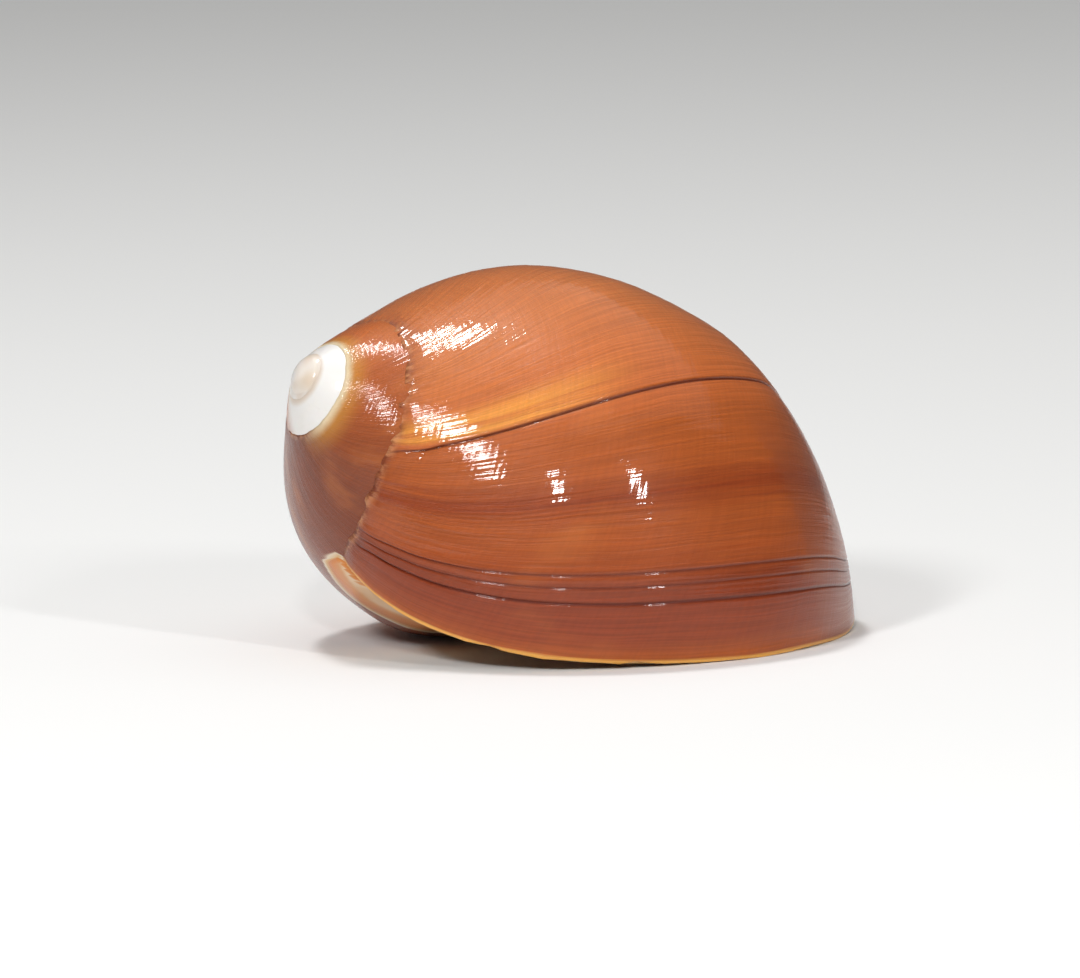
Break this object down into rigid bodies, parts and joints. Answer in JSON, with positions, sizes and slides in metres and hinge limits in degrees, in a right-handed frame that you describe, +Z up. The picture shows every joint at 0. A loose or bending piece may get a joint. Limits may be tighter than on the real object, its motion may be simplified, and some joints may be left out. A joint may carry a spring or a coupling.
{
  "type": "moon snail shell",
  "caption": "Glossy orange-brown moon snail shell with a white tip, lying with its wide mouth down.",
  "frame": {"origin": "centre of the bounding box at its base, on the surface the shell lies on", "axes": "+Z up from the surface, +X from the tip's side towards the base of the shell, -Y towards the side with the lip's near edge"},
  "size_m": [0.0498, 0.0414, 0.0325],
  "materials": {
    "shell": "gloss"
  },
  "bodies": {
    "root": {"shell": "shell"}
  },
  "joints": []
}
